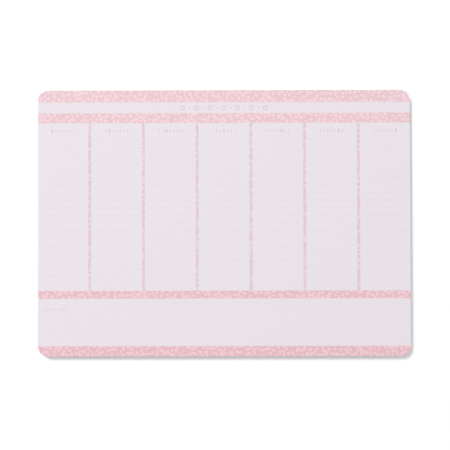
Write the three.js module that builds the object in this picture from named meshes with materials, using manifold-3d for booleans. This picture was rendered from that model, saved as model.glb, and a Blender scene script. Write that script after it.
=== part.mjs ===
// A magnetic weekly planner: a tear-off pad of printed sheets, lying on its back with the print up.
// The sheets are glued along their head edge to a greyboard of the same outline, and two flexible
// magnet strips stuck to the board's back hold the pad to a steel door.
// Millimetres. +X runs along the long side, +Y towards the glued head, +Z out of the print.
// The origin is under the middle of the pad, on the surface that the magnets lie on.

import * as THREE from "three";
import { mergeVertices } from "three/addons/utils/BufferGeometryUtils.js";
import Module from "manifold-3d";

const wasm = await Module();
wasm.setup();

// Vertices closer than this are one.
const MERGE_DISTANCE = 1e-5;

// Sheets and board
const SHEET_WIDTH = 297;
const SHEET_DEPTH = 212;
const CORNER_RADIUS = 8;
const CORNER_STEPS = 8;
const SHEET_COUNT = 54;
const SHEET_THICKNESS = 0.1;
// The head is pressed tight by the glue, and the loose foot holds air between the sheets.
const FOOT_SWELL = 1.6;
const BOARD_THICKNESS = 1;
const GLUE_THICKNESS = 0.4;

// Magnet strips
const MAGNET_LENGTH = 250;
const MAGNET_WIDTH = 20;
const MAGNET_THICKNESS = 1;
const MAGNET_INSET = 22;

// Printed fields, measured down the sheet. The day columns take the depth that the others leave.
const HEAD_BAND = 9.5;
const TITLE_STRIP = 8.6;
const DAYS_BAND = 7.9;
const NOTES_BAND = 6.2;
const NOTES_DEPTH = 37.8;
const FOOT_BAND = 8.1;
// The print is laid out on an untrimmed sheet, this much wider on each side.
const PRINT_BLEED = 1.65;
const DAY_COUNT = 7;
const DIVIDER_WIDTH = 2;

// Ruled lines
const RULE_PITCH = 6;
const RULE_WEIGHT = 0.25;
const FIRST_RULE = 13.9;
const RULE_MARGIN = 4;

// Marks: a row of upright strokes heads each day, rings and pips stand in the title strip
const STROKE_WEIGHT = 0.35;
const BOLD_STROKE_WEIGHT = 0.9;
const STROKE_HEIGHT = 2.4;
const STROKE_PITCH = 2.9;
const DAY_MARK_DROP = 6.3;
const PIP_RADIUS = 0.5;
const PIP_STEPS = 8;
const RING_RADIUS = 1.8;
const RING_WEIGHT = 0.45;
const RING_STEPS = 12;
const RING_PITCH = 11;
const NOTES_STROKES = 7;
const NOTES_MARK_DROP = 8.5;
const NOTES_MARK_MARGIN = 5;

// Pale chips scattered over the pink fields
const CHIP_PITCH = 4.4;
const CHIP_RADIUS = 2;
const CHIP_MARGIN = 0.3;
const CHIP_SHIFT = 0.5;
const CHIP_CORNERS = 5;
const CHIP_FLATNESS = 0.72;
// Shares by which one chip's size, its corners' reach and their spacing vary.
const CHIP_SIZE_SPREAD = 0.25;
const CHIP_REACH_SPREAD = 0.15;
const CHIP_CORNER_SPREAD = 0.5;
const CHIP_SEED = 7;

const PAPER = new THREE.MeshStandardMaterial({ name: "paper", color: 0xf1edf2, roughness: 0.85 });
const PINK_INK = new THREE.MeshStandardMaterial({ name: "pink_ink", color: 0xe9b6c1, roughness: 0.75 });
const PALE_INK = new THREE.MeshStandardMaterial({ name: "pale_ink", color: 0xf8d9e0, roughness: 0.8 });
const RULE_INK = new THREE.MeshStandardMaterial({ name: "rule_ink", color: 0xe0d9e1, roughness: 0.8 });
const MARK_INK = new THREE.MeshStandardMaterial({ name: "mark_ink", color: 0xc9c2ca, roughness: 0.8 });
const GREYBOARD = new THREE.MeshStandardMaterial({ name: "greyboard", color: 0xa39c90, roughness: 0.95 });
const GLUE = new THREE.MeshStandardMaterial({ name: "glue", color: 0xf2efe6, roughness: 0.45 });
const MAGNET = new THREE.MeshStandardMaterial({ name: "magnet", color: 0x2e2a29, roughness: 0.7 });

// Heights, from the surface up
const boardBottom = MAGNET_THICKNESS;
const boardTop = boardBottom + BOARD_THICKNESS;
const blockHeight = SHEET_COUNT * SHEET_THICKNESS;
const blockTop = boardTop + blockHeight;

// The pad's footprint, glue included, is centred on the origin
const leftX = -SHEET_WIDTH / 2;
const rightX = SHEET_WIDTH / 2;
const headY = (SHEET_DEPTH - GLUE_THICKNESS) / 2;
const footY = headY - SHEET_DEPTH;

// Where the printed fields begin and end
const titleY = headY - HEAD_BAND;
const daysBandY = titleY - TITLE_STRIP;
const columnsY = daysBandY - DAYS_BAND;
const footBandY = footY + FOOT_BAND;
const notesY = footBandY + NOTES_DEPTH;
const notesBandY = notesY + NOTES_BAND;
const columnPitch = (SHEET_WIDTH + 2 * PRINT_BLEED) / DAY_COUNT;

/** The pad's outline: a rectangle with round corners. */
function sheetOutline() {
  const shape = new THREE.Shape();
  const r = CORNER_RADIUS;
  shape.absarc(rightX - r, headY - r, r, 0, Math.PI / 2, false);
  shape.absarc(leftX + r, headY - r, r, Math.PI / 2, Math.PI, false);
  shape.absarc(leftX + r, footY + r, r, Math.PI, Math.PI * 1.5, false);
  shape.absarc(rightX - r, footY + r, r, Math.PI * 1.5, Math.PI * 2, false);
  return shape;
}

/** A rectangle from its left, right, lower and upper sides. */
function rectangle(left, right, lower, upper) {
  const corners = [
    [left, lower],
    [right, lower],
    [right, upper],
    [left, upper],
  ];
  return new THREE.Shape(corners.map(([x, y]) => new THREE.Vector2(x, y)));
}

/** A round mark, or a ring where an inner radius is given. */
function roundMark(x, y, radius, innerRadius = 0) {
  const shape = new THREE.Shape();
  shape.absarc(x, y, radius, 0, Math.PI * 2, false);
  if (innerRadius > 0) {
    const hole = new THREE.Path();
    hole.absarc(x, y, innerRadius, 0, Math.PI * 2, true);
    shape.holes.push(hole);
  }
  return shape;
}

/** Shapes raised from one height to another. */
function raise(shapes, bottom, top, curveSegments = 1) {
  const geometry = new THREE.ExtrudeGeometry(shapes, {
    depth: top - bottom,
    bevelEnabled: false,
    curveSegments,
  });
  return geometry.translate(0, 0, bottom);
}

/** A closed geometry as a solid that can be joined and cut. */
function toSolid(geometry) {
  const bare = geometry.clone();
  bare.deleteAttribute("normal");
  bare.deleteAttribute("uv");
  const merged = mergeVertices(bare, MERGE_DISTANCE);
  const mesh = new wasm.Mesh({
    numProp: 3,
    vertProperties: new Float32Array(merged.attributes.position.array),
    triVerts: new Uint32Array(merged.index.array),
  });
  return new wasm.Manifold(mesh);
}

/** Shapes raised one by one and joined, whether or not they touch. */
function raiseAndJoin(shapes, bottom, top, curveSegments) {
  return wasm.Manifold.union(shapes.map((shape) => toSolid(raise(shape, bottom, top, curveSegments))));
}

/** A repeatable stream of numbers from 0 to 1. */
function numberStream(seed) {
  let state = seed;
  return () => {
    state = (state * 1664525 + 1013904223) % 4294967296;
    return state / 4294967296;
  };
}

// The printing tools reach one sheet deep into the block, and stand proud of it and past its sides.
const TOOL_OVERHANG = 1;
const inkBottom = blockTop - SHEET_THICKNESS;
const inkTop = blockTop + TOOL_OVERHANG;

/** The four bands across the sheet and the dividers between the days, as one solid. */
function pinkTool() {
  const left = leftX - TOOL_OVERHANG;
  const right = rightX + TOOL_OVERHANG;
  const bands = [
    rectangle(left, right, titleY, headY + TOOL_OVERHANG),
    rectangle(left, right, columnsY, daysBandY),
    rectangle(left, right, notesY, notesBandY),
    rectangle(left, right, footY - TOOL_OVERHANG, footBandY),
  ];
  // The dividers start and end half way into the bands that they join.
  const dividers = dividerPlaces().map((x) => {
    const half = DIVIDER_WIDTH / 2;
    return rectangle(x - half, x + half, notesBandY - NOTES_BAND / 2, columnsY + DAYS_BAND / 2);
  });
  return raiseAndJoin([...bands, ...dividers], inkBottom, inkTop);
}

/** The middle of each divider, from left to right. */
function dividerPlaces() {
  return Array.from({ length: DAY_COUNT - 1 }, (_, i) => (i + 1 - DAY_COUNT / 2) * columnPitch);
}

/** The left and right side of each day's column, from left to right. */
function columnSides() {
  const half = DIVIDER_WIDTH / 2;
  const dividers = dividerPlaces();
  return Array.from({ length: DAY_COUNT }, (_, i) => [
    i === 0 ? leftX : dividers[i - 1] + half,
    i === DAY_COUNT - 1 ? rightX : dividers[i] - half,
  ]);
}

/** One chip of the scattered pattern: a flattened polygon with uneven corners, turned at random. */
function chip(x, y, radius, next) {
  const turn = next() * Math.PI;
  const corners = Array.from({ length: CHIP_CORNERS }, (_, i) => {
    const angle = ((i + CHIP_CORNER_SPREAD * (next() - 0.5)) / CHIP_CORNERS) * Math.PI * 2;
    const reach = radius * (1 - CHIP_REACH_SPREAD * next());
    const corner = new THREE.Vector2(Math.cos(angle) * reach, Math.sin(angle) * reach * CHIP_FLATNESS);
    return corner.rotateAround(new THREE.Vector2(), turn).add(new THREE.Vector2(x, y));
  });
  return new THREE.Shape(corners);
}

/** Whether a chip at this place stays clear of the sheet's round corners. */
function clearOfCorners(x, y, radius) {
  const arcX = SHEET_WIDTH / 2 - CORNER_RADIUS;
  const arcY = SHEET_DEPTH / 2 - CORNER_RADIUS;
  const outX = Math.abs(x) - arcX;
  const outY = Math.abs(y - (headY + footY) / 2) - arcY;
  return outX <= 0 || outY <= 0 || Math.hypot(outX, outY) + radius < CORNER_RADIUS - CHIP_MARGIN;
}

/** Chips over one pink field, one in each cell of a grid, shifted at random and never touching. */
function chipsOver(left, right, lower, upper, next) {
  const width = right - left - 2 * CHIP_MARGIN;
  const height = upper - lower - 2 * CHIP_MARGIN;
  const columns = Math.max(1, Math.round(width / CHIP_PITCH));
  const rows = Math.max(1, Math.round(height / CHIP_PITCH));
  const cellWidth = width / columns;
  const cellHeight = height / rows;
  const largest = Math.min(CHIP_RADIUS, cellWidth / 2, cellHeight / 2);
  const chips = [];
  for (let row = 0; row < rows; row += 1) {
    // Every other row of a wide field is shifted by half a cell, and has one cell less.
    const shifted = columns > 1 ? row % 2 : 0;
    for (let column = 0; column < columns - shifted; column += 1) {
      const radius = largest * (1 - CHIP_SIZE_SPREAD * next());
      const roomX = Math.min(CHIP_SHIFT, cellWidth / 2 - radius);
      const roomY = Math.min(CHIP_SHIFT, cellHeight / 2 - radius);
      const cellX = (column + 0.5 + 0.5 * shifted) * cellWidth;
      const x = left + CHIP_MARGIN + cellX + (2 * next() - 1) * roomX;
      const y = lower + CHIP_MARGIN + (row + 0.5) * cellHeight + (2 * next() - 1) * roomY;
      if (clearOfCorners(x, y, radius)) {
        chips.push(chip(x, y, radius, next));
      }
    }
  }
  return chips;
}

/** The pale chips over all the pink fields. */
function chipTool() {
  const next = numberStream(CHIP_SEED);
  const half = DIVIDER_WIDTH / 2;
  const chips = [
    ...chipsOver(leftX, rightX, titleY, headY, next),
    ...chipsOver(leftX, rightX, columnsY, daysBandY, next),
    ...chipsOver(leftX, rightX, notesY, notesBandY, next),
    ...chipsOver(leftX, rightX, footY, footBandY, next),
    ...dividerPlaces().flatMap((x) => chipsOver(x - half, x + half, notesBandY, columnsY, next)),
  ];
  return raiseAndJoin(chips, inkBottom, inkTop);
}

/** The ruled lines of every day's column. */
function ruleTool() {
  const room = columnsY - notesBandY - FIRST_RULE;
  const count = 1 + Math.max(0, Math.floor(room / RULE_PITCH - 0.5));
  const rules = columnSides().flatMap(([left, right]) =>
    Array.from({ length: count }, (_, i) => {
      const y = columnsY - FIRST_RULE - i * RULE_PITCH;
      const half = RULE_WEIGHT / 2;
      return rectangle(left + RULE_MARGIN, right - RULE_MARGIN, y - half, y + half);
    }),
  );
  return raiseAndJoin(rules, inkBottom, inkTop);
}

/** A row of upright strokes, centred on a place, with one of them bold where its number is given. */
function strokeRow(x, y, count, bold = -1) {
  return Array.from({ length: count }, (_, i) => {
    const half = (i === bold ? BOLD_STROKE_WEIGHT : STROKE_WEIGHT) / 2;
    const middle = x + (i - (count - 1) / 2) * STROKE_PITCH;
    return rectangle(middle - half, middle + half, y - STROKE_HEIGHT / 2, y + STROKE_HEIGHT / 2);
  });
}

/** The grey marks: the day heads, the title's rings and pips, and the label of the notes field. */
function markTool() {
  const dayMarks = columnSides().flatMap(([left, right], day) =>
    strokeRow((left + right) / 2, columnsY - DAY_MARK_DROP, DAY_COUNT, day),
  );
  const notesReach = ((NOTES_STROKES - 1) / 2) * STROKE_PITCH;
  const notesX = leftX + NOTES_MARK_MARGIN + notesReach;
  const notesMarks = strokeRow(notesX, notesY - NOTES_MARK_DROP, NOTES_STROKES);
  const titleMiddle = (titleY + daysBandY) / 2;
  const ringPlaces = Array.from({ length: DAY_COUNT }, (_, i) => (i - (DAY_COUNT - 1) / 2) * RING_PITCH);
  const titleRings = ringPlaces.map((x) => roundMark(x, titleMiddle, RING_RADIUS, RING_RADIUS - RING_WEIGHT));
  const titlePips = ringPlaces.slice(1).map((x) => roundMark(x - RING_PITCH / 2, titleMiddle, PIP_RADIUS));
  const rings = raiseAndJoin(titleRings, inkBottom, inkTop, RING_STEPS);
  const pips = raiseAndJoin(titlePips, inkBottom, inkTop, PIP_STEPS);
  return raiseAndJoin([...dayMarks, ...notesMarks], inkBottom, inkTop).add(rings).add(pips);
}

/**
 * Prints one colour: what the tool covers of the block is cut out and put back as a field of its own,
 * so that the block stays one solid and the field keeps its own faces.
 */
function printField(printed, tool, material) {
  const field = printed.solid.intersect(tool).asOriginal();
  const solid = printed.solid.subtract(tool).add(field);
  const inks = new Map(printed.inks).set(field.originalID(), material);
  return { solid, inks };
}

/** Lifts the block's upper faces towards the foot, where the sheets lie loose. */
function swellFoot(position) {
  for (let i = 0; i < position.count; i += 1) {
    const fromHead = (headY - position.getY(i)) / SHEET_DEPTH;
    const upTheBlock = (position.getZ(i) - boardTop) / blockHeight;
    position.setZ(i, position.getZ(i) + FOOT_SWELL * fromHead * upTheBlock);
  }
}

/** The block of sheets as one solid, with the front sheet's print as fields of colour on its face. */
function pageBlock() {
  const plain = toSolid(raise([sheetOutline()], boardTop, blockTop, CORNER_STEPS)).asOriginal();
  let printed = { solid: plain, inks: new Map([[plain.originalID(), PAPER]]) };
  printed = printField(printed, pinkTool(), PINK_INK);
  printed = printField(printed, chipTool(), PALE_INK);
  printed = printField(printed, ruleTool(), RULE_INK);
  printed = printField(printed, markTool(), MARK_INK);

  const mesh = printed.solid.getMesh();
  const materials = [...new Set(printed.inks.values())];
  const geometry = new THREE.BufferGeometry();
  geometry.setAttribute("position", new THREE.BufferAttribute(mesh.vertProperties, 3));
  geometry.setIndex(new THREE.BufferAttribute(mesh.triVerts, 1));
  mesh.runOriginalID.forEach((id, run) => {
    const start = mesh.runIndex[run];
    const material = printed.inks.get(id) ?? PAPER;
    geometry.addGroup(start, mesh.runIndex[run + 1] - start, materials.indexOf(material));
  });
  swellFoot(geometry.attributes.position);
  const faceted = geometry.toNonIndexed();
  faceted.computeVertexNormals();
  return named("page_block", faceted, materials);
}

/** The greyboard under the sheets, cut with them to the same outline. */
function backingBoard() {
  const geometry = raise([sheetOutline()], boardBottom, boardTop, CORNER_STEPS);
  return named("backing_board", geometry, GREYBOARD);
}

/** The film of padding glue along the head, on the straight edge that the corner cutter leaves. */
function headGlue() {
  const strip = rectangle(leftX + CORNER_RADIUS, rightX - CORNER_RADIUS, headY, headY + GLUE_THICKNESS);
  return named("head_glue", raise([strip], boardBottom, blockTop), GLUE);
}

/** One flexible magnet strip on the board's back, with its middle at this height down the pad. */
function magnetStrip(name, y) {
  const geometry = new THREE.BoxGeometry(MAGNET_LENGTH, MAGNET_WIDTH, MAGNET_THICKNESS);
  const strip = named(name, geometry, MAGNET);
  strip.position.set(0, y, MAGNET_THICKNESS / 2);
  return strip;
}

/** A mesh under its piece's name. */
function named(name, geometry, material) {
  const mesh = new THREE.Mesh(geometry, material);
  mesh.name = name;
  return mesh;
}

const magnetReach = MAGNET_INSET + MAGNET_WIDTH / 2;
const planner = new THREE.Group();
planner.add(
  pageBlock(),
  backingBoard(),
  headGlue(),
  magnetStrip("magnet_strip_head", headY - magnetReach),
  magnetStrip("magnet_strip_foot", footY + magnetReach),
);

export default planner;
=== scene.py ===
import math

import bmesh
import bpy
from bpy.props import FloatProperty, FloatVectorProperty, IntProperty, PointerProperty
from mathutils import Euler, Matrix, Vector


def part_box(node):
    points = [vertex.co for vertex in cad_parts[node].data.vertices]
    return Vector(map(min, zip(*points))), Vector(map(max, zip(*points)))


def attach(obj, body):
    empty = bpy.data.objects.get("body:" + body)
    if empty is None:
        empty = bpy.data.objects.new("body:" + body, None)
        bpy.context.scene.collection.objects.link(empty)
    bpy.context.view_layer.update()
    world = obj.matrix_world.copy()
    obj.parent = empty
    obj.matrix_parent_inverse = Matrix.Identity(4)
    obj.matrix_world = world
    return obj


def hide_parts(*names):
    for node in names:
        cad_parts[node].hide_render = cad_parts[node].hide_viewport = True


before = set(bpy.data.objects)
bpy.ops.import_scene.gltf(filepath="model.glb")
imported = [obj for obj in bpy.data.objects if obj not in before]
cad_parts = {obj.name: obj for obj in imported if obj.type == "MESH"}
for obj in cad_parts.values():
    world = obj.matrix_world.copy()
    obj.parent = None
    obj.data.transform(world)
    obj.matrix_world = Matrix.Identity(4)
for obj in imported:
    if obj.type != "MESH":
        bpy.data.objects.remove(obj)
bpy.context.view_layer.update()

bl_info = {
    "name": "Weekly Planner Pad",
    "version": (1, 0, 0),
    "blender": (4, 5, 0),
    "location": "View3D > Sidebar > Planner",
    "description": "Dresses a tear-off weekly planner pad: its sheets, print, board, glue and magnets",
    "category": "Object",
}

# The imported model's pieces, in metres. +X runs along the long side, +Y towards the glued head.
BLOCK_LOW, BLOCK_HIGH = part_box("page_block")
BOARD_LOW, BOARD_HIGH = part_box("backing_board")
GLUE_LOW, GLUE_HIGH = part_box("head_glue")
MAGNET_NODES = ("magnet_strip_head", "magnet_strip_foot")

LEFT, RIGHT = BLOCK_LOW.x, BLOCK_HIGH.x
FOOT, HEAD = BLOCK_LOW.y, BLOCK_HIGH.y
SHEET_WIDTH = RIGHT - LEFT
SHEET_DEPTH = HEAD - FOOT
BLOCK_BOTTOM = BLOCK_LOW.z
# The glue film ends level with the front sheet's head, and the loose foot stands higher.
HEAD_TOP = GLUE_HIGH.z
BLOCK_HEIGHT = HEAD_TOP - BLOCK_BOTTOM
FOOT_SWELL = BLOCK_HIGH.z - HEAD_TOP

MM = 0.001
ORIGIN = (0.0, 0.0, 0.0)
# Corners closer than this are one.
MERGE_DISTANCE = 0.0001 * MM
# Edges that turn by more than this are softened, or left sharp in the glue's smooth skin.
SOFTENED_ANGLE = math.radians(60)
SHARP_ANGLE = math.radians(50)

SLIP_SEED = 3
PIP_CORNERS = 16
RING_CORNERS = 32
# Points thrown on each square of the chips' spacing, before the crowded ones go.
THROWN_POINTS = 4.0
# Size of the bends in a chip's outline.
OUTLINE_BEND = 1.6 * MM

# Length of the glue's cells, and its waves in radians a metre: two along the head and one up the stack.
GLUE_STEP = 0.6 * MM
LONG_WAVE = 173
SHORT_WAVE = 410
UPWARD_WAVE = 900
# Share of its thickness that the glue keeps at its borders.
GLUE_RIM = 0.4
# Share of a fleck's radius that has its full colour.
FLECK_CORE = 0.6


def from_hex(code):
    """A colour written as six hex digits, as the linear values that shaders take."""
    shares = [int(code[i:i + 2], 16) / 255 for i in (0, 2, 4)]
    return tuple(s / 12.92 if s <= 0.04045 else ((s + 0.055) / 1.055) ** 2.4 for s in shares)


def length(name, description, millimetres):
    """A size property, given in millimetres and kept in metres."""
    return FloatProperty(
        name=name, description=description, default=millimetres * MM, unit="LENGTH", precision=5
    )


def colour(name, description, code):
    """A colour property."""
    return FloatVectorProperty(
        name=name, description=description, default=from_hex(code), subtype="COLOR", min=0, max=1
    )


def number(name, description, value, least=1):
    """A whole number property."""
    return IntProperty(name=name, description=description, default=value, min=least)


def share(name, description, value, least=0):
    """A property that is a share, up to 1."""
    return FloatProperty(
        name=name, description=description, default=value, min=least, max=1, subtype="FACTOR"
    )


def angle(name, description, degrees):
    """An angle property, given in degrees and kept in radians."""
    return FloatProperty(
        name=name, description=description, default=math.radians(degrees), subtype="ANGLE"
    )


class SheetSizes(bpy.types.PropertyGroup):
    """The block of sheets and what holds it."""

    count: number("Sheets", "Sheets in the block, the front one included", 54, least=2)
    corner_radius: length("Corner radius", "Radius left by the corner cutter", 8)
    corner_steps: number("Corner steps", "Straight steps in each round corner", 16, least=2)
    paper_share: share("Paper share", "Share of a sheet's pitch that is paper, not air", 0.86, least=0.1)
    slip: length("Slip", "How far a sheet may lie out of line with the others", 0.05)
    print_room: length("Print room", "Depth of the front sheet under the block's top", 0.04)
    board_bevel: length("Board bevel", "Softening of the board's cut edges", 0.08)
    glue_lumps: length("Glue lumps", "How uneven the padding glue's skin is", 0.15)
    glue_border: length("Glue border", "Width over which the glue thins out at its borders", 1.2)
    adhesive: length("Adhesive", "Thickness of the adhesive between a magnet and the board", 0.1)
    magnet_bevel: length("Magnet bevel", "Softening of the magnet strip's edges", 0.15)


class PrintSizes(bpy.types.PropertyGroup):
    """The printed fields, measured down the sheet."""

    head_band: length("Head band", "Depth of the pink band at the head", 9.5)
    title_strip: length("Title strip", "Depth of the plain strip under the head band", 8.6)
    days_band: length("Days band", "Depth of the pink band over the day columns", 7.9)
    notes_band: length("Notes band", "Depth of the pink band over the notes field", 6.2)
    notes_depth: length("Notes depth", "Depth of the notes field", 37.8)
    foot_band: length("Foot band", "Depth of the pink band at the foot", 8.1)
    bleed: length("Bleed", "How much wider than the sheet the print was laid out, on each side", 1.65)
    divider_width: length("Divider width", "Width of the pink strips between the days", 2.4)
    days: number("Days", "Day columns across the sheet", 7)
    rules: number("Rules", "Ruled lines in each column", 20)
    first_rule: length("First rule", "Depth of the first ruled line in its column", 13.9)
    rule_pitch: length("Rule pitch", "Distance from one ruled line to the next", 6)
    rule_margin: length("Rule margin", "Clear space at each end of a ruled line", 4)
    rule_weight: length("Rule weight", "Thickness of a ruled line", 0.25)
    ink_sunk: length("Ink sunk", "How far the ink reaches into the paper", 0.01)
    ink_stands: length("Ink stands", "How far the first ink stands on the paper", 0.01)


class MarkSizes(bpy.types.PropertyGroup):
    """The grey marks that head the title strip, the days and the notes field."""

    stroke_weight: length("Stroke weight", "Width of a plain upright stroke", 0.35)
    bold_weight: length("Bold stroke weight", "Width of the stroke that stands for the column's day", 0.9)
    stroke_height: length("Stroke height", "Height of the upright strokes", 2.4)
    stroke_pitch: length("Stroke pitch", "Distance from one stroke to the next", 2.9)
    day_drop: length("Day mark drop", "Depth of the day marks in their columns", 6.3)
    pip_radius: length("Pip radius", "Radius of a title pip", 0.5)
    ring_radius: length("Ring radius", "Outer radius of a title ring", 1.8)
    ring_weight: length("Ring weight", "Thickness of a title ring's line", 0.45)
    ring_pitch: length("Ring pitch", "Distance from one title ring to the next", 11)
    notes_strokes: number("Notes strokes", "Strokes that head the notes field", 7)
    notes_drop: length("Notes mark drop", "Depth of the notes marks in their field", 8.5)
    notes_margin: length("Notes mark margin", "Distance of the first notes stroke from the sheet's side", 5)


class SpeckleSizes(bpy.types.PropertyGroup):
    """The pale chips scattered over the pink fields."""

    spacing: length("Spacing", "Least distance from one chip's middle to the next", 2.75)
    longest: length("Longest", "Half the length of the largest chip", 2.05)
    shortest: length("Shortest", "Half the length of the smallest chip", 1.15)
    widest: length("Widest", "Half the width of the widest chip", 1.45)
    narrowest: length("Narrowest", "Half the width of the narrowest chip", 0.85)
    unevenness: length("Unevenness", "How far a chip's outline wanders", 0.55)
    corners: number("Corners", "Corners in a chip's outline", 14, least=5)
    seed: number("Seed", "Seed of the scatter", 7, least=0)


class PlannerColours(bpy.types.PropertyGroup):
    """The finishes' colours."""

    paper: colour("Paper", "Uncoated paper of the sheets", "e9e2e9")
    pink_head: colour("Pink at the head", "Pink ink of the upper bands", "e7c5cc")
    pink_foot: colour("Pink at the foot", "Pink ink of the lower bands", "e5b8c1")
    pink_between: colour("Pink between the days", "Pink ink of the dividers", "e1c5ce")
    chip_head: colour("Chips at the head", "Pale chips of the upper bands", "f1d4da")
    chip_foot: colour("Chips at the foot", "Pale chips of the lower bands", "f0cad1")
    chip_between: colour("Chips between the days", "Pale chips of the dividers", "ead4dc")
    rule: colour("Rules", "Grey ink of the ruled lines", "ddd6de")
    mark: colour("Marks", "Grey ink of the marks", "c4bcc5")
    board: colour("Greyboard", "Raw grey board behind the sheets", "a39c90")
    board_fleck: colour("Board flecks", "Pale flecks in the grey board", "d8d2c6")
    glue: colour("Padding glue", "Dried padding glue along the head", "e6dce0")
    glue_lump: colour("Glue lumps", "Thicker spots in the padding glue", "dacfd3")
    magnet: colour("Magnet", "Flexible magnet strips", "2e2a29")
    magnet_grain: colour("Magnet grains", "Grains of magnetic powder in the strips", "5b5450")
    adhesive: colour("Adhesive", "Adhesive between the magnets and the board", "d9cfb4")


class StageSizes(bpy.types.PropertyGroup):
    """The floor, the light and the camera."""

    camera_height: length("Camera height", "Distance from the camera to the print", 1000)
    lens: FloatProperty(name="Lens", description="Focal length in millimetres", default=100.32)
    aim_x: length("Aim across", "Where the camera aims, along the pad's long side", 0.68)
    aim_y: length("Aim down", "Where the camera aims, along the pad's short side", -1.79)
    tilt: angle("Tilt", "Turn of the camera about the pad's long side", 0.65)
    lean: angle("Lean", "Turn of the camera about the pad's short side", 0.19)
    roll: angle("Roll", "Turn of the camera about its own axis", -0.124)
    key_power: FloatProperty(name="Key power", description="Power of the main lamp in watts", default=66.5)
    key_size: length("Key size", "Width of the main lamp", 850)
    key_x: length("Key across", "Place of the main lamp, along the pad's long side", -960)
    key_y: length("Key up", "Place of the main lamp, along the pad's short side", 1130)
    key_z: length("Key height", "Height of the main lamp", 3100)
    sky: share("Sky", "Strength of the even light all round", 0.5)
    floor_white: share("Floor white", "Share of light that the floor gives back", 0.85)
    floor_lift: share("Floor lift", "White that is added where the floor is seen, near the pad", 0.2)
    far_lift: share("Far lift", "White that is added where the floor is seen, far from the pad", 0.7)
    near: length("Near", "How far from its middle the floor is near the pad", 350)
    far: length("Far", "How far from its middle the floor is all white", 1300)
    floor_size: length("Floor size", "Width of the floor", 6000)
    floor_drop: length("Floor drop", "How far the floor lies under the magnets' faces", 0.02)


def new_object(name, mesh):
    """A mesh as an object at the origin, linked into the scene."""
    made = bpy.data.objects.new(name, mesh)
    bpy.context.scene.collection.objects.link(made)
    return made


def wear(made, material, slot, *nodes):
    """Gives a piece its finish, hangs it on the root body and hides the imported pieces that it stands for;
    the slot it is given is not used.
    """
    if material is not None:
        made.data.materials.append(material)
    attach(made, "root")
    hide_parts(*nodes)


def cut(points, axis, place, side):
    """The part of a convex outline on one side of a line, side 1 being above the place and -1 below it."""
    kept = []
    for start, end in zip(points, points[1:] + points[:1]):
        from_line = side * (start[axis] - place)
        to_line = side * (end[axis] - place)
        if from_line >= 0:
            kept.append(start)
        if from_line * to_line < 0:
            kept.append(start.lerp(end, from_line / (from_line - to_line)))
    return kept


def sheet_outline(sheets, inset=0.0):
    """The outline of a sheet, with its round corners, from the right one at the head."""
    radius = sheets.corner_radius - inset
    points = []
    for quarter, corner in enumerate(((RIGHT, HEAD), (LEFT, HEAD), (LEFT, FOOT), (RIGHT, FOOT))):
        centre = Vector(side - math.copysign(sheets.corner_radius, side) for side in corner)
        for step in range(sheets.corner_steps + 1):
            turn = (quarter + step / sheets.corner_steps) * math.pi / 2
            points.append(centre + radius * Vector((math.cos(turn), math.sin(turn))))
    return points


def cell(outline, left, right, low, high):
    """The part of an outline inside a rectangle."""
    for axis, place, side in ((0, left, 1), (0, right, -1), (1, low, 1), (1, high, -1)):
        outline = cut(outline, axis, place, side)
    return outline


def thicken(name, work, other_side):
    """A closed body between the faces and a copy of them, whose corners go where a function says."""
    raised = bmesh.ops.extrude_face_region(work, geom=list(work.faces), use_keep_orig=True)
    for part in raised["geom"]:
        if isinstance(part, bmesh.types.BMVert):
            part.co = other_side(part.co)
    bmesh.ops.recalc_face_normals(work, faces=work.faces)
    mesh = bpy.data.meshes.new(name)
    work.to_mesh(mesh)
    work.free()
    return mesh


def flat_prism(name, outlines, low, high):
    """A closed prism over flat outlines that share their corners."""
    work = bmesh.new()
    for outline in outlines:
        work.faces.new([work.verts.new((x, y, low)) for x, y in outline])
    bmesh.ops.remove_doubles(work, verts=work.verts, dist=MERGE_DISTANCE)
    return thicken(name, work, lambda corner: (corner.x, corner.y, high))


def swell(mesh):
    """Lifts the sheets towards their loose foot, most of all the front one."""
    for vertex in mesh.vertices:
        from_head = (HEAD - vertex.co.y) / SHEET_DEPTH
        up_the_block = (vertex.co.z - BLOCK_BOTTOM) / BLOCK_HEIGHT
        vertex.co.z += FOOT_SWELL * from_head * up_the_block


class Places:
    """Where the printed fields begin and end, and how high the print lies before the foot is lifted."""

    def __init__(self, scene):
        sizes = scene.planner_print
        self.title = HEAD - sizes.head_band
        self.days_band = self.title - sizes.title_strip
        self.columns = self.days_band - sizes.days_band
        self.foot_band = FOOT + sizes.foot_band
        self.notes = self.foot_band + sizes.notes_depth
        self.notes_band = self.notes + sizes.notes_band
        self.bands = (
            (self.title, HEAD),
            (self.columns, self.days_band),
            (self.notes, self.notes_band),
            (FOOT, self.foot_band),
        )
        self.column_pitch = (SHEET_WIDTH + 2 * sizes.bleed) / sizes.days
        self.dividers = [(i + 1 - sizes.days / 2) * self.column_pitch for i in range(sizes.days - 1)]
        self.sheet_top = HEAD_TOP - scene.planner_sheets.print_room


def pink_outlines(scene):
    """The four bands and the dividers between the days, as outlines that share their corners."""
    places = Places(scene)
    half = scene.planner_print.divider_width / 2
    outline = sheet_outline(scene.planner_sheets)
    sides = [LEFT, *(x + way * half for x in places.dividers for way in (-1, 1)), RIGHT]
    outlines = [
        cell(outline, left, right, low, high)
        for low, high in places.bands
        for left, right in zip(sides, sides[1:])
    ]
    for x in places.dividers:
        outlines.append(cell(outline, x - half, x + half, places.notes_band, places.columns))
    return outlines


def add_node(tree, kind, inputs=(), **settings):
    """Adds a node, sets its options, and fills or links the inputs that are given."""
    made = tree.nodes.new(kind)
    for option, value in settings.items():
        setattr(made, option, value)
    for key, value in dict(inputs).items():
        if isinstance(value, bpy.types.NodeSocket):
            tree.links.new(value, made.inputs[key])
        else:
            made.inputs[key].default_value = value
    return made


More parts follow.
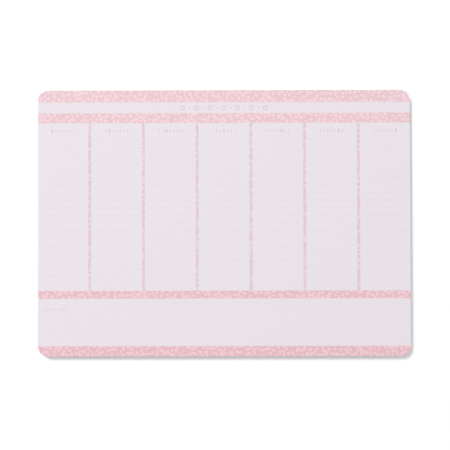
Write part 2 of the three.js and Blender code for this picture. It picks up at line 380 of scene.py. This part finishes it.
def calculate(tree, operation, *values):
    """The result of one Math node."""
    return add_node(tree, "ShaderNodeMath", dict(enumerate(values)), operation=operation).outputs[0]


def inside(tree, value, low, high):
    """1 where a value lies between two others, and 0 elsewhere."""
    return calculate(tree, "COMPARE", value, (low + high) / 2, (high - low) / 2)


def point(tree, x=0.0, y=0.0, z=0.0):
    """A vector made from three numbers."""
    return add_node(tree, "ShaderNodeCombineXYZ", {"X": x, "Y": y, "Z": z}).outputs[0]


def map_range(tree, value, start, end, low=0.0, high=1.0):
    """A value from start to end as one from low to high."""
    inputs = {"Value": value, "From Min": start, "From Max": end, "To Min": low, "To Max": high}
    return add_node(tree, "ShaderNodeMapRange", inputs).outputs[0]


class Finish:
    """A material in the making: its node tree, its shader and the place on the object."""

    def __init__(self, name, roughness):
        self.material = bpy.data.materials.new(name)
        self.material.use_nodes = True
        self.tree = self.material.node_tree
        self.shader = self.tree.nodes["Principled BSDF"]
        self.shader.inputs["Roughness"].default_value = roughness
        self.place = add_node(self.tree, "ShaderNodeTexCoord").outputs["Object"]

    def axis(self, letter):
        """The place along one axis."""
        return add_node(self.tree, "ShaderNodeSeparateXYZ", {0: self.place}).outputs[letter]

    def stretched(self, x, y, z):
        """The place, drawn out along the axes with the smaller numbers."""
        mapping = add_node(self.tree, "ShaderNodeMapping", {"Vector": self.place, "Scale": (x, y, z)})
        return mapping.outputs[0]

    def noise(self, feature, detail=2.0, place=None, roughness=0.5):
        """Soft noise from 0 to 1 with features of about this size."""
        inputs = {
            "Vector": place or self.place,
            "Scale": 1 / feature,
            "Detail": detail,
            "Roughness": roughness,
        }
        return add_node(self.tree, "ShaderNodeTexNoise", inputs).outputs[0]

    def flecks(self, spacing, size):
        """Small scattered flecks, 1 on a fleck and 0 off it."""
        cells = add_node(self.tree, "ShaderNodeTexVoronoi", {"Vector": self.place, "Scale": 1 / spacing})
        return self.fade(cells.outputs["Distance"], size, size * FLECK_CORE)

    def fade(self, value, start, end, low=0.0, high=1.0):
        """A value from start to end as one from low to high."""
        return map_range(self.tree, value, start, end, low, high)

    def paint(self, amount, first, second):
        """Lays the second colour over the first, or over what was painted, as the base colour."""
        if not isinstance(first, bpy.types.NodeSocket):
            first = (*first, 1)
        colours = {0: amount, 6: first, 7: (*second, 1)}
        mixed = add_node(self.tree, "ShaderNodeMix", colours, data_type="RGBA").outputs[2]
        self.tree.links.new(mixed, self.shader.inputs["Base Color"])
        return mixed

    def bump(self, height, depth):
        """Raises the surface by a height map, to a depth in metres."""
        bumped = add_node(self.tree, "ShaderNodeBump", {"Height": height, "Distance": depth})
        self.tree.links.new(bumped.outputs[0], self.shader.inputs["Normal"])

    def vary_roughness(self, amount, low, high):
        """Lets the roughness run from low to high."""
        self.tree.links.new(self.fade(amount, 0, 1, low, high), self.shader.inputs["Roughness"])


def shade(values, amount):
    """A colour made darker by an amount of itself."""
    return tuple(value * (1 - amount) for value in values)


def paper_finish(colours):
    """Uncoated paper: faint clouds where the pulp is denser, and a fine tooth of fibres."""
    finish = Finish("uncoated_paper", 0.88)
    clouds = finish.noise(4 * MM, detail=4)
    fibres = finish.noise(0.35 * MM, detail=3, place=finish.stretched(0.5, 1, 1))
    painted = finish.paint(finish.fade(clouds, 0.3, 0.7), colours.paper, shade(colours.paper, 0.018))
    finish.paint(finish.fade(fibres, 0.55, 0.8, 0, 0.35), painted, shade(colours.paper, 0.05))
    finish.bump(fibres, 0.012 * MM)
    finish.vary_roughness(clouds, 0.82, 0.92)
    return finish.material


def ink_finish(name, head_colour, foot_colour, mottle, field=None):
    """Matt printing ink that the paper's tooth breaks up, growing from one colour at the head to another.

    A field across the sheet may have its own colour, given as its low side, its high side and the colour.
    """
    finish = Finish(name, 0.75)
    height = finish.axis("Y")
    tooth = finish.noise(0.3 * MM, detail=3)
    painted = finish.paint(finish.fade(height, HEAD, FOOT), head_colour, foot_colour)
    if field is not None:
        low, high, colour_there = field
        painted = finish.paint(inside(finish.tree, height, low, high), painted, colour_there)
    lighter = tuple(min(1.0, value * (1 + mottle)) for value in head_colour)
    finish.paint(finish.fade(tooth, 0.52, 0.85, 0, 0.4), painted, lighter)
    finish.bump(tooth, 0.01 * MM)
    finish.vary_roughness(tooth, 0.66, 0.84)
    return finish.material


def page_edge_finish(colours, places):
    """The cut edges of the stacked sheets: each lighter or darker, and pink where the bands bleed off."""
    finish = Finish("page_edges", 0.9)
    tree = finish.tree
    sheet_by_sheet = finish.noise(0.12 * MM, detail=1, place=finish.stretched(0.01, 0.01, 1))
    sheets = finish.fade(sheet_by_sheet, 0.3, 0.7)
    painted = finish.paint(sheets, colours.paper, shade(colours.paper, 0.16))
    height = finish.axis("Y")
    in_band = 0.0
    for low, high in places.bands:
        in_band = calculate(tree, "MAXIMUM", in_band, inside(tree, height, low, high))
    uneven = finish.noise(0.25 * MM, detail=2, place=finish.stretched(0.3, 0.3, 1))
    tint = calculate(tree, "MULTIPLY", in_band, finish.fade(uneven, 0.35, 0.7, 0.15, 0.6))
    finish.paint(tint, painted, colours.pink_foot)
    finish.bump(uneven, 0.02 * MM)
    return finish.material


def greyboard_finish(colours):
    """Raw greyboard pressed from recycled pulp, with long fibres and dark and pale flecks."""
    finish = Finish("raw_greyboard", 0.95)
    clouds = finish.noise(3 * MM, detail=5, roughness=0.65)
    fibres = finish.noise(0.5 * MM, detail=4, place=finish.stretched(0.25, 1, 1))
    painted = finish.paint(clouds, shade(colours.board, 0.16), colours.board)
    painted = finish.paint(finish.flecks(2.3 * MM, 0.14), painted, shade(colours.board, 0.55))
    painted = finish.paint(finish.flecks(1.7 * MM, 0.12), painted, colours.board_fleck)
    finish.paint(finish.fade(fibres, 0.5, 0.8, 0, 0.5), painted, shade(colours.board, 0.3))
    finish.bump(fibres, 0.05 * MM)
    return finish.material


def glue_finish(colours):
    """Dried padding glue: a rubbery, cloudy skin that the sheets' printed edges show through."""
    finish = Finish("padding_glue_skin", 0.4)
    edges = finish.noise(0.15 * MM, detail=1, place=finish.stretched(0.02, 1, 1))
    lumps = finish.noise(2.5 * MM, detail=3)
    painted = finish.paint(finish.fade(edges, 0.35, 0.65), colours.glue, shade(colours.glue, 0.09))
    finish.paint(finish.fade(lumps, 0.45, 0.75, 0, 0.5), painted, colours.glue_lump)
    finish.bump(lumps, 0.05 * MM)
    finish.vary_roughness(lumps, 0.3, 0.5)
    return finish.material


def magnet_finish(colours):
    """Flexible magnet: powder in rubber, with the fine lines that the rollers leave along the strip."""
    finish = Finish("flexible_magnet", 0.7)
    lines = finish.noise(0.4 * MM, detail=3, place=finish.stretched(0.01, 1, 1))
    grains = finish.noise(0.2 * MM, detail=2)
    painted = finish.paint(lines, colours.magnet, shade(colours.magnet, 0.35))
    finish.paint(finish.fade(grains, 0.55, 0.75, 0, 0.3), painted, colours.magnet_grain)
    finish.bump(lines, 0.03 * MM)
    finish.vary_roughness(grains, 0.55, 0.8)
    return finish.material


def adhesive_finish(colours):
    """The pale adhesive layer that holds a magnet strip to the board."""
    finish = Finish("adhesive_layer", 0.35)
    streaks = finish.noise(1.2 * MM, detail=3, place=finish.stretched(0.2, 1, 1))
    finish.paint(streaks, colours.adhesive, shade(colours.adhesive, 0.15))
    finish.bump(streaks, 0.01 * MM)
    return finish.material


def seen_directly(tree):
    """1 for the rays that show the white ground itself, and 0 for those that light the object."""
    ray = add_node(tree, "ShaderNodeLightPath").outputs
    seen = calculate(tree, "MAXIMUM", ray["Is Camera Ray"], ray["Is Glossy Ray"])
    return calculate(tree, "MAXIMUM", seen, ray["Is Transmission Ray"])


def floor_finish(stage):
    """A plain white floor that shows as full white, also far from the lamp, and still takes a shadow."""
    material = bpy.data.materials.new("white_floor")
    material.use_nodes = True
    tree = material.node_tree
    tree.nodes.clear()
    white = (*(stage.floor_white,) * 3, 1)
    matt = add_node(tree, "ShaderNodeBsdfDiffuse", {"Color": white})
    place = add_node(tree, "ShaderNodeTexCoord").outputs["Object"]
    distance = add_node(tree, "ShaderNodeVectorMath", {0: place}, operation="LENGTH").outputs["Value"]
    white_here = map_range(tree, distance, stage.near, stage.far, stage.floor_lift, stage.far_lift)
    lift = calculate(tree, "MULTIPLY", seen_directly(tree), white_here)
    glow = add_node(tree, "ShaderNodeEmission", {"Color": (1, 1, 1, 1), "Strength": lift})
    both = add_node(tree, "ShaderNodeAddShader", {0: matt.outputs[0], 1: glow.outputs[0]})
    add_node(tree, "ShaderNodeOutputMaterial", {"Surface": both.outputs[0]})
    return material


SOCKET_KINDS = {
    int: "NodeSocketInt", float: "NodeSocketFloat", bpy.types.Material: "NodeSocketMaterial",
}


class GeometryTree:
    """A Geometry Nodes tree in the making, with a named input for each of the values."""

    def __init__(self, name, values):
        self.tree = bpy.data.node_groups.new(name, "GeometryNodeTree")
        face = self.tree.interface
        face.new_socket("Geometry", in_out="OUTPUT", socket_type="NodeSocketGeometry")
        face.new_socket("Base", in_out="INPUT", socket_type="NodeSocketGeometry")
        for label, value in values.items():
            face.new_socket(label, in_out="INPUT", socket_type=SOCKET_KINDS[type(value)])
        self.given = self.tree.nodes.new("NodeGroupInput").outputs
        self.index = self.add("GeometryNodeInputIndex").outputs[0]

    def add(self, kind, inputs=(), **settings):
        """Adds a node to the tree."""
        return add_node(self.tree, kind, inputs, **settings)

    def calculate(self, operation, *values):
        """The result of one Math node."""
        return calculate(self.tree, operation, *values)

    def vector(self, operation, inputs):
        """The result of one Vector Math node."""
        return self.add("ShaderNodeVectorMath", inputs, operation=operation).outputs[0]

    def random(self, low, high, seed, step):
        """A random number from low to high at each point, with a seed of its own for each step."""
        inputs = {2: low, 3: high, "Seed": self.calculate("ADD", seed, step)}
        return self.add("FunctionNodeRandomValue", inputs, data_type="FLOAT").outputs[1]

    def line(self, count, start=ORIGIN, offset=ORIGIN):
        """A row of points, all in one place without an offset."""
        inputs = {"Count": count, "Start Location": start, "Offset": offset}
        return self.add("GeometryNodeMeshLine", inputs, mode="OFFSET").outputs[0]

    def disc(self, radius, thickness, corners):
        """A flat round prism."""
        inputs = {"Vertices": corners, "Radius": radius, "Depth": thickness}
        return self.add("GeometryNodeMeshCylinder", inputs, fill_type="NGON").outputs["Mesh"]

    def bar(self, x, y, z):
        """A box around the origin."""
        return self.add("GeometryNodeMeshCube", {"Size": point(self.tree, x, y, z)}).outputs["Mesh"]

    def move(self, geometry, place=None, offset=ORIGIN):
        """Moves a geometry's points to a place or by an offset."""
        inputs = {"Geometry": geometry, "Offset": offset}
        if place is not None:
            inputs["Position"] = place
        return self.add("GeometryNodeSetPosition", inputs).outputs[0]

    def stamp(self, points, shape, scale=(1.0, 1.0, 1.0), turn=ORIGIN):
        """A copy of the shape at each point."""
        inputs = {"Points": points, "Instance": shape, "Rotation": turn, "Scale": scale}
        stamped = self.add("GeometryNodeInstanceOnPoints", inputs).outputs[0]
        return self.add("GeometryNodeRealizeInstances", {0: stamped}).outputs[0]

    def join(self, *geometries):
        """Several geometries as one."""
        joined = self.add("GeometryNodeJoinGeometry")
        for geometry in geometries:
            self.tree.links.new(geometry, joined.inputs[0])
        return joined.outputs[0]

    def boolean(self, operation, first, second):
        """One closed mesh cut by another, or what two of them share. Either may overlap itself."""
        inputs = {"Self Intersection": True}
        made = self.add("GeometryNodeMeshBoolean", inputs, operation=operation, solver="EXACT")
        self.tree.links.new(first, made.inputs[0 if operation == "DIFFERENCE" else 1])
        self.tree.links.new(second, made.inputs[1])
        return made.outputs[0]

    def close(self, geometry):
        """Ends the tree in real meshes with their material."""
        real = self.add("GeometryNodeRealizeInstances", {0: geometry}).outputs[0]
        done = self.add("GeometryNodeSetMaterial", {"Geometry": real, "Material": self.given["Material"]})
        self.tree.links.new(done.outputs[0], self.tree.nodes.new("NodeGroupOutput").inputs[0])
        return self.tree


def grow(name, build, values, base=None):
    """Builds a Geometry Nodes tree, runs it on a base mesh and keeps the result as a plain mesh."""
    base = base or bpy.data.meshes.new(name)
    made = new_object(name, base)
    tree = build(values)
    modifier = made.modifiers.new("tree", "NODES")
    modifier.node_group = tree
    for item in tree.interface.items_tree:
        if item.in_out == "INPUT" and item.name in values:
            modifier[item.identifier] = values[item.name]
    graph = bpy.context.evaluated_depsgraph_get()
    grown = bpy.data.meshes.new_from_object(made.evaluated_get(graph), depsgraph=graph)
    made.modifiers.clear()
    made.data = grown
    bpy.data.meshes.remove(base)
    grown.name = name
    return made


def stack_tree(values):
    """Sheets one above another, each slipped a little out of line."""
    grown = GeometryTree("stack_of_sheets", values)
    given = grown.given
    points = grown.line(given["Count"], offset=point(grown.tree, z=given["Pitch"]))
    least = grown.calculate("MULTIPLY", given["Slip"], -1.0)
    across = grown.random(least, given["Slip"], given["Seed"], 0)
    down = grown.random(least, given["Slip"], given["Seed"], 1)
    points = grown.move(points, offset=point(grown.tree, across, down))
    return grown.close(grown.stamp(points, given["Base"]))


def column_sides(grown, column):
    """The left side, the middle and the right side of a day's column, from its number."""
    given = grown.given
    from_middle = grown.calculate("SUBTRACT", column, grown.calculate("DIVIDE", given["Days"], 2.0))
    next_one = grown.calculate("ADD", from_middle, 1.0)
    half = grown.calculate("DIVIDE", given["Divider width"], 2.0)
    less_half = grown.calculate("MULTIPLY", half, -1.0)
    left = grown.calculate("MULTIPLY_ADD", from_middle, given["Column pitch"], half)
    right = grown.calculate("MULTIPLY_ADD", next_one, given["Column pitch"], less_half)
    left = grown.calculate("MAXIMUM", left, LEFT)
    right = grown.calculate("MINIMUM", right, RIGHT)
    middle = grown.calculate("DIVIDE", grown.calculate("ADD", left, right), 2.0)
    return left, middle, right


def rule_tree(values):
    """Ruled lines down every day's column."""
    grown = GeometryTree("ruled_lines", values)
    given = grown.given
    count = grown.calculate("MULTIPLY", given["Days"], given["Rules"])
    points = grown.line(count)
    column = grown.calculate("FLOOR", grown.calculate("DIVIDE", grown.index, given["Rules"]))
    row = grown.calculate("MODULO", grown.index, given["Rules"])
    left, middle, right = column_sides(grown, column)
    drop = grown.calculate("MULTIPLY", row, given["Rule pitch"])
    height = grown.calculate("SUBTRACT", given["First height"], drop)
    place = point(grown.tree, middle, height)
    margins = grown.calculate("MULTIPLY", given["Margin"], 2.0)
    run = grown.calculate("SUBTRACT", grown.calculate("SUBTRACT", right, left), margins)
    bar = grown.bar(1.0, given["Weight"], given["Thickness"])
    points = grown.move(points, place)
    return grown.close(grown.stamp(points, bar, point(grown.tree, run, 1.0, 1.0)))


def mark_tree(values):
    """Strokes at the head of each day with one bold, rings and pips in the title, strokes for the notes."""
    grown = GeometryTree("grey_marks", values)
    given = grown.given
    days = given["Days"]
    half_row = grown.calculate("DIVIDE", grown.calculate("SUBTRACT", days, 1.0), 2.0)

    column = grown.calculate("FLOOR", grown.calculate("DIVIDE", grown.index, days))
    number = grown.calculate("MODULO", grown.index, days)
    middle = column_sides(grown, column)[1]
    from_middle = grown.calculate("SUBTRACT", number, half_row)
    across = grown.calculate("MULTIPLY_ADD", from_middle, given["Stroke pitch"], middle)
    points = grown.line(grown.calculate("MULTIPLY", days, days))
    points = grown.move(points, point(grown.tree, across, given["Day height"]))
    own = grown.calculate("COMPARE", column, number, 0.5)
    growth = grown.calculate("SUBTRACT", given["Bold weight"], given["Stroke weight"])
    weight = grown.calculate("MULTIPLY_ADD", own, growth, given["Stroke weight"])
    stroke = grown.bar(1.0, given["Stroke height"], given["Thickness"])
    day_strokes = grown.stamp(points, stroke, point(grown.tree, weight, 1.0, 1.0))

    pip = grown.disc(given["Pip radius"], given["Thickness"], PIP_CORNERS)
    start = grown.calculate("MULTIPLY", half_row, grown.calculate("MULTIPLY", given["Ring pitch"], -1.0))
    step = point(grown.tree, given["Ring pitch"])
    ring_points = grown.line(days, point(grown.tree, start, given["Title height"]), step)
    inner = grown.calculate("SUBTRACT", given["Ring radius"], given["Ring weight"])
    deeper = grown.calculate("MULTIPLY", given["Thickness"], 2.0)
    outer_disc = grown.disc(given["Ring radius"], given["Thickness"], RING_CORNERS)
    ring = grown.boolean("DIFFERENCE", outer_disc, grown.disc(inner, deeper, RING_CORNERS))
    rings = grown.stamp(ring_points, ring)
    between = grown.calculate("MULTIPLY_ADD", given["Ring pitch"], 0.5, start)
    title_points = grown.line(
        grown.calculate("SUBTRACT", days, 1.0), point(grown.tree, between, given["Title height"]), step
    )
    title_pips = grown.stamp(title_points, pip)

    notes_start = point(grown.tree, given["Notes start"], given["Notes height"])
    notes_points = grown.line(given["Notes strokes"], notes_start, point(grown.tree, given["Stroke pitch"]))
    notes = grown.stamp(notes_points, stroke, point(grown.tree, given["Stroke weight"], 1.0, 1.0))
    return grown.close(grown.join(day_strokes, rings, title_pips, notes))


def speckle_tree(values):
    """Uneven chips scattered over the fields of the base mesh and cut off at their borders."""
    grown = GeometryTree("scattered_chips", values)
    given = grown.given
    ground = grown.add("GeometryNodeMeshGrid", {
        "Size X": SHEET_WIDTH, "Size Y": SHEET_DEPTH, "Vertices X": 2, "Vertices Y": 2,
    }).outputs["Mesh"]
    ground = grown.move(ground, offset=((LEFT + RIGHT) / 2, (HEAD + FOOT) / 2, 0.0))
    square = grown.calculate("MULTIPLY", given["Spacing"], given["Spacing"])
    most = grown.calculate("DIVIDE", THROWN_POINTS, square)
    scattered = grown.add("GeometryNodeDistributePointsOnFaces", {
        "Mesh": ground, "Distance Min": given["Spacing"], "Density Max": most, "Seed": given["Seed"],
    }, distribute_method="POISSON").outputs["Points"]
    near = grown.add("GeometryNodeProximity", {0: given["Base"]}, target_element="FACES")
    too_far = grown.calculate("GREATER_THAN", near.outputs["Distance"], given["Longest"])
    inputs = {"Geometry": scattered, "Selection": too_far}
    points = grown.add("GeometryNodeDeleteGeometry", inputs, domain="POINT")
    turn = point(grown.tree, z=grown.random(0.0, math.pi, given["Seed"], 1))
    size = point(
        grown.tree,
        grown.random(given["Shortest"], given["Longest"], given["Seed"], 2),
        grown.random(given["Narrowest"], given["Widest"], given["Seed"], 3),
        1.0,
    )
    disc = grown.disc(1.0, given["Thickness"], given["Corners"])
    chips = grown.stamp(points.outputs[0], disc, size, turn)
    # Noise from 0 to 1 becomes a flat offset from -1 to 1, times the unevenness.
    bends = {"Scale": 1 / OUTLINE_BEND, "Detail": 1.0}
    wander = grown.add("ShaderNodeTexNoise", bends, noise_dimensions="2D").outputs["Color"]
    centred = grown.vector("SUBTRACT", {0: wander, 1: (0.5, 0.5, 0.5)})
    flat = grown.vector("MULTIPLY", {0: centred, 1: (2.0, 2.0, 0.0)})
    chips = grown.move(chips, offset=grown.vector("SCALE", {0: flat, "Scale": given["Unevenness"]}))
    return grown.close(grown.boolean("INTERSECT", chips, given["Base"]))


def settle_print(made, centre_height):
    """Lays a flat print piece, made about height 0, on the front sheet."""
    for vertex in made.data.vertices:
        vertex.co.z += centre_height
    swell(made.data)


class PLANNER_OT_sheets(bpy.types.Operator):
    """Makes the front sheet and the stack of sheets under it"""

    bl_idname = "planner.sheets"
    bl_label = "Sheets"

    def execute(self, context):
        scene = context.scene
        sheets, colours, places = scene.planner_sheets, scene.planner_colours, Places(scene)
        pitch = (places.sheet_top - BLOCK_BOTTOM) / sheets.count
        thickness = pitch * sheets.paper_share
        front = flat_prism(
            "front_sheet", [sheet_outline(sheets)], places.sheet_top - thickness, places.sheet_top
        )
        swell(front)
        wear(new_object("front_sheet", front), paper_finish(colours), "printed_paper", "page_block")

        outline = sheet_outline(sheets, inset=sheets.slip)
        base = flat_prism("one_sheet", [outline], BLOCK_BOTTOM, BLOCK_BOTTOM + thickness)
        values = {
            "Count": sheets.count - 1, "Pitch": pitch, "Slip": sheets.slip, "Seed": SLIP_SEED,
            "Material": page_edge_finish(colours, places),
        }
        stack = grow("page_stack", stack_tree, values, base)
        swell(stack.data)
        wear(stack, None, "printed_paper", "page_block")
        return {"FINISHED"}


class PLANNER_OT_pink_print(bpy.types.Operator):
    """Prints the pink bands and dividers with their scattered pale chips"""

    bl_idname = "planner.pink_print"
    bl_label = "Bands and chips"

    def execute(self, context):
        scene = context.scene
        sizes, colours, places = scene.planner_print, scene.planner_colours, Places(scene)
        chips = scene.planner_speckle
        outlines = pink_outlines(scene)
        low, high = places.sheet_top - sizes.ink_sunk, places.sheet_top + sizes.ink_stands
        bands = flat_prism("band_print", outlines, low, high)
        swell(bands)
        columns = (places.notes_band, places.columns)
        between = (*columns, colours.pink_between)
        pink = ink_finish("pink_ink", colours.pink_head, colours.pink_foot, 0.06, between)
        wear(new_object("band_print", bands), pink, "printed_paper", "page_block")

        between = (*columns, colours.chip_between)
        pale = ink_finish("pale_ink", colours.chip_head, colours.chip_foot, 0.03, between)
        thickness = sizes.ink_sunk + 2 * sizes.ink_stands
        cutter = flat_prism("chip_cutter", outlines, -thickness, thickness)
        values = {
            "Spacing": chips.spacing, "Shortest": chips.shortest, "Longest": chips.longest,
            "Narrowest": chips.narrowest, "Widest": chips.widest, "Unevenness": chips.unevenness,
            "Corners": chips.corners, "Thickness": thickness, "Seed": chips.seed, "Material": pale,
        }
        speckle = grow("band_speckle", speckle_tree, values, cutter)
        settle_print(speckle, places.sheet_top - sizes.ink_sunk + thickness / 2)
        wear(speckle, None, "printed_paper", "page_block")
        return {"FINISHED"}


class PLANNER_OT_grey_print(bpy.types.Operator):
    """Prints the ruled lines and the grey marks"""

    bl_idname = "planner.grey_print"
    bl_label = "Rules and marks"

    def execute(self, context):
        scene = context.scene
        sizes, marks, colours = scene.planner_print, scene.planner_marks, scene.planner_colours
        places = Places(scene)
        thickness = sizes.ink_sunk + sizes.ink_stands
        centre_height = places.sheet_top + (sizes.ink_stands - sizes.ink_sunk) / 2
        columns = {
            "Days": sizes.days, "Divider width": sizes.divider_width, "Column pitch": places.column_pitch,
        }
        rule_values = {
            **columns,
            "Rules": sizes.rules, "First height": places.columns - sizes.first_rule,
            "Rule pitch": sizes.rule_pitch, "Margin": sizes.rule_margin, "Weight": sizes.rule_weight,
            "Thickness": thickness, "Material": ink_finish("rule_ink", colours.rule, colours.rule, 0.05),
        }
        rules = grow("rule_print", rule_tree, rule_values)
        mark_values = {
            **columns,
            "Stroke weight": marks.stroke_weight, "Bold weight": marks.bold_weight,
            "Stroke height": marks.stroke_height, "Stroke pitch": marks.stroke_pitch,
            "Day height": places.columns - marks.day_drop, "Pip radius": marks.pip_radius,
            "Ring radius": marks.ring_radius, "Ring weight": marks.ring_weight,
            "Ring pitch": marks.ring_pitch, "Title height": (places.title + places.days_band) / 2,
            "Notes strokes": marks.notes_strokes, "Notes start": LEFT + marks.notes_margin,
            "Notes height": places.notes - marks.notes_drop, "Thickness": thickness,
            "Material": ink_finish("mark_ink", colours.mark, colours.mark, 0.05),
        }
        heads = grow("mark_print", mark_tree, mark_values)
        for made in (rules, heads):
            settle_print(made, centre_height)
            wear(made, None, "printed_paper", "page_block")
        return {"FINISHED"}


class PLANNER_OT_board(bpy.types.Operator):
    """Makes the greyboard behind the sheets"""

    bl_idname = "planner.board"
    bl_label = "Backing board"

    def execute(self, context):
        scene = context.scene
        sheets = scene.planner_sheets
        mesh = flat_prism("board_panel", [sheet_outline(sheets)], BOARD_LOW.z, BOARD_HIGH.z)
        board = new_object("board_panel", soften(mesh, sheets.board_bevel))
        wear(board, greyboard_finish(scene.planner_colours), "greyboard", "backing_board")
        return {"FINISHED"}


def soften(mesh, width):
    """Rounds the sharp edges of a mesh in two steps."""
    work = bmesh.new()
    work.from_mesh(mesh)
    sharp = [edge for edge in work.edges if edge.calc_face_angle() > SOFTENED_ANGLE]
    bmesh.ops.bevel(work, geom=sharp, offset=width, segments=2, profile=0.5, affect="EDGES")
    work.to_mesh(mesh)
    work.free()
    return mesh


def glue_skin(sheets, x, z):
    """The place of the glue's outer skin: uneven, and nearer the sheets towards its borders."""
    along = math.sin(x * SHORT_WAVE) * math.sin(x * LONG_WAVE + 2)
    wave = along * math.cos(z * UPWARD_WAVE)
    to_border = min(x - GLUE_LOW.x, GLUE_HIGH.x - x, z - GLUE_LOW.z, GLUE_HIGH.z - z)
    fullness = min(1, GLUE_RIM + (1 - GLUE_RIM) * to_border / sheets.glue_border)
    thickness = GLUE_HIGH.y - GLUE_LOW.y - sheets.glue_lumps * (1 + wave) / 2
    return x, GLUE_LOW.y + fullness * thickness, z


class PLANNER_OT_glue(bpy.types.Operator):
    """Makes the uneven film of padding glue along the head"""

    bl_idname = "planner.glue"
    bl_label = "Padding glue"

    def execute(self, context):
        scene = context.scene
        size = GLUE_HIGH - GLUE_LOW
        work = bmesh.new()
        bmesh.ops.create_grid(
            work, x_segments=round(size.x / GLUE_STEP), y_segments=round(size.z / GLUE_STEP), size=0.5
        )
        for vertex in work.verts:
            across, up = vertex.co.x + 0.5, vertex.co.y + 0.5
            vertex.co = GLUE_LOW + Vector((across * size.x, 0, up * size.z))
        sheets = scene.planner_sheets
        mesh = thicken("padding_film", work, lambda corner: glue_skin(sheets, corner.x, corner.z))
        mesh.shade_smooth()
        mesh.set_sharp_from_angle(angle=SHARP_ANGLE)
        film = new_object("padding_film", mesh)
        wear(film, glue_finish(scene.planner_colours), "padding_glue", "head_glue")
        return {"FINISHED"}


class PLANNER_OT_magnets(bpy.types.Operator):
    """Makes the two magnet strips and the adhesive that holds them to the board"""

    bl_idname = "planner.magnets"
    bl_label = "Magnet strips"

    def execute(self, context):
        scene = context.scene
        sheets, colours = scene.planner_sheets, scene.planner_colours
        magnet, adhesive = magnet_finish(colours), adhesive_finish(colours)
        for node_name in MAGNET_NODES:
            low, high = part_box(node_name)
            corners = ((low.x, low.y), (high.x, low.y), (high.x, high.y), (low.x, high.y))
            seam = high.z - sheets.adhesive
            end = node_name.rsplit("_", 1)[1]
            strip = soften(flat_prism("strip_" + end, [corners], low.z, seam), sheets.magnet_bevel)
            wear(new_object("flexible_strip_" + end, strip), magnet, "flexible_magnet", node_name)
            layer = flat_prism("layer_" + end, [corners], seam, high.z)
            wear(new_object("adhesive_layer_" + end, layer), adhesive, "flexible_magnet", node_name)
        return {"FINISHED"}


class PLANNER_OT_stage(bpy.types.Operator):
    """Sets up the floor, the light and the camera"""

    bl_idname = "planner.stage"
    bl_label = "Floor, light and camera"

    def execute(self, context):
        scene = context.scene
        stage = scene.planner_stage
        half = stage.floor_size / 2
        corners = [(x * half, y * half, -stage.floor_drop) for x, y in ((-1, -1), (1, -1), (1, 1), (-1, 1))]
        mesh = bpy.data.meshes.new("floor")
        mesh.from_pydata(corners, [], [(0, 1, 2, 3)])
        mesh.materials.append(floor_finish(stage))
        new_object("floor", mesh)

        world = bpy.data.worlds.new("even_light")
        world.use_nodes = True
        sky = world.node_tree
        strength = calculate(sky, "MULTIPLY_ADD", seen_directly(sky), 1 - stage.sky, stage.sky)
        sky.nodes["Background"].inputs["Color"].default_value = (1, 1, 1, 1)
        sky.links.new(strength, sky.nodes["Background"].inputs["Strength"])
        scene.world = world

        lamp = bpy.data.lights.new("key_lamp", "AREA")
        lamp.shape = "DISK"
        lamp.size = stage.key_size
        lamp.energy = stage.key_power
        key = bpy.data.objects.new("key_lamp", lamp)
        key.location = (stage.key_x, stage.key_y, stage.key_z)
        key.rotation_euler = (-key.location).to_track_quat("-Z", "Y").to_euler()
        scene.collection.objects.link(key)

        camera_data = bpy.data.cameras.new("camera")
        camera_data.lens = stage.lens
        camera = bpy.data.objects.new("camera", camera_data)
        turn = Euler((stage.tilt, stage.lean, stage.roll))
        aim = Vector((stage.aim_x, stage.aim_y, (HEAD_TOP + BLOCK_HIGH.z) / 2))
        camera.location = aim + turn.to_matrix() @ Vector((0, 0, stage.camera_height))
        camera.rotation_euler = turn
        scene.collection.objects.link(camera)
        scene.camera = camera

        scene.view_settings.view_transform = "Standard"
        return {"FINISHED"}


class PLANNER_PT_panel(bpy.types.Panel):
    """Lists the planner's parts in the sidebar"""

    bl_idname = "PLANNER_PT_panel"
    bl_label = "Weekly planner pad"
    bl_space_type = "VIEW_3D"
    bl_region_type = "UI"
    bl_category = "Planner"

    def draw(self, context):
        for operator in OPERATORS:
            self.layout.operator(operator.bl_idname)


GROUPS = {
    "planner_sheets": SheetSizes,
    "planner_print": PrintSizes,
    "planner_marks": MarkSizes,
    "planner_speckle": SpeckleSizes,
    "planner_colours": PlannerColours,
    "planner_stage": StageSizes,
}
OPERATORS = (
    PLANNER_OT_stage,
    PLANNER_OT_sheets,
    PLANNER_OT_pink_print,
    PLANNER_OT_grey_print,
    PLANNER_OT_board,
    PLANNER_OT_glue,
    PLANNER_OT_magnets,
)
CLASSES = (*GROUPS.values(), *OPERATORS, PLANNER_PT_panel)


def register():
    """Registers the classes and hangs the sizes on the scene."""
    for kind in CLASSES:
        bpy.utils.register_class(kind)
    for name, group in GROUPS.items():
        setattr(bpy.types.Scene, name, PointerProperty(type=group))


def unregister():
    """Takes the sizes and the classes away again."""
    for name in GROUPS:
        delattr(bpy.types.Scene, name)
    for kind in reversed(CLASSES):
        bpy.utils.unregister_class(kind)


def main():
    """Builds the planner and the stage."""
    register()
    bpy.ops.planner.stage()
    bpy.ops.planner.sheets()
    bpy.ops.planner.pink_print()
    bpy.ops.planner.grey_print()
    bpy.ops.planner.board()
    bpy.ops.planner.glue()
    bpy.ops.planner.magnets()


if __name__ == "__main__":
    main()
